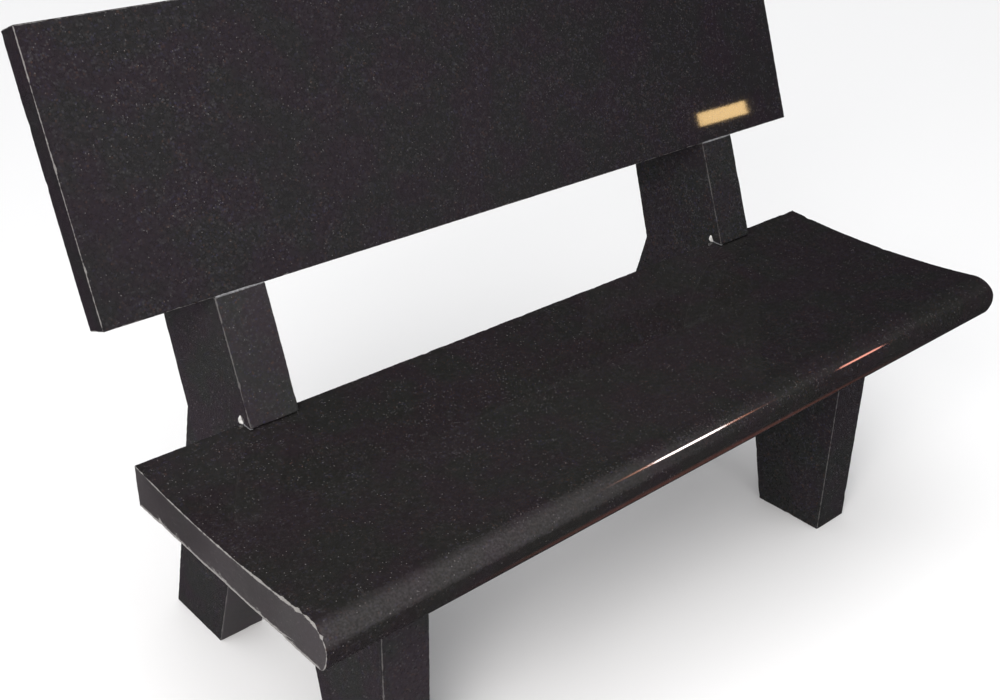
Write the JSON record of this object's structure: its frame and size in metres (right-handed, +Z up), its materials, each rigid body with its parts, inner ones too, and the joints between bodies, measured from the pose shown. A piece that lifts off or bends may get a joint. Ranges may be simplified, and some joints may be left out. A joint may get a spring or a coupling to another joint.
{
  "type": "granite memorial bench with backrest",
  "caption": "Polished black granite memorial bench: dished seat slab and leaning backrest slab housed in leg-and-post supports.",
  "frame": {"origin": "on the floor under the middle of the bench's bounding box", "axes": "+X along the bench to the right as seen from in front of it, +Y from the front of the seat to the backrest, +Z up"},
  "size_m": [1.22, 0.6408, 0.884],
  "materials": {
    "seat_granite": "polished top and front, honed ends and back, fine speckled black granite",
    "backrest_granite": "polished all over, fine speckled black granite",
    "support_granite": "polished front and rear edges, honed broad sides, fine speckled black granite"
  },
  "bodies": {
    "root": {"seat": "seat_granite", "backrest": "backrest_granite", "left_support": "support_granite", "right_support": "support_granite"}
  },
  "joints": []
}
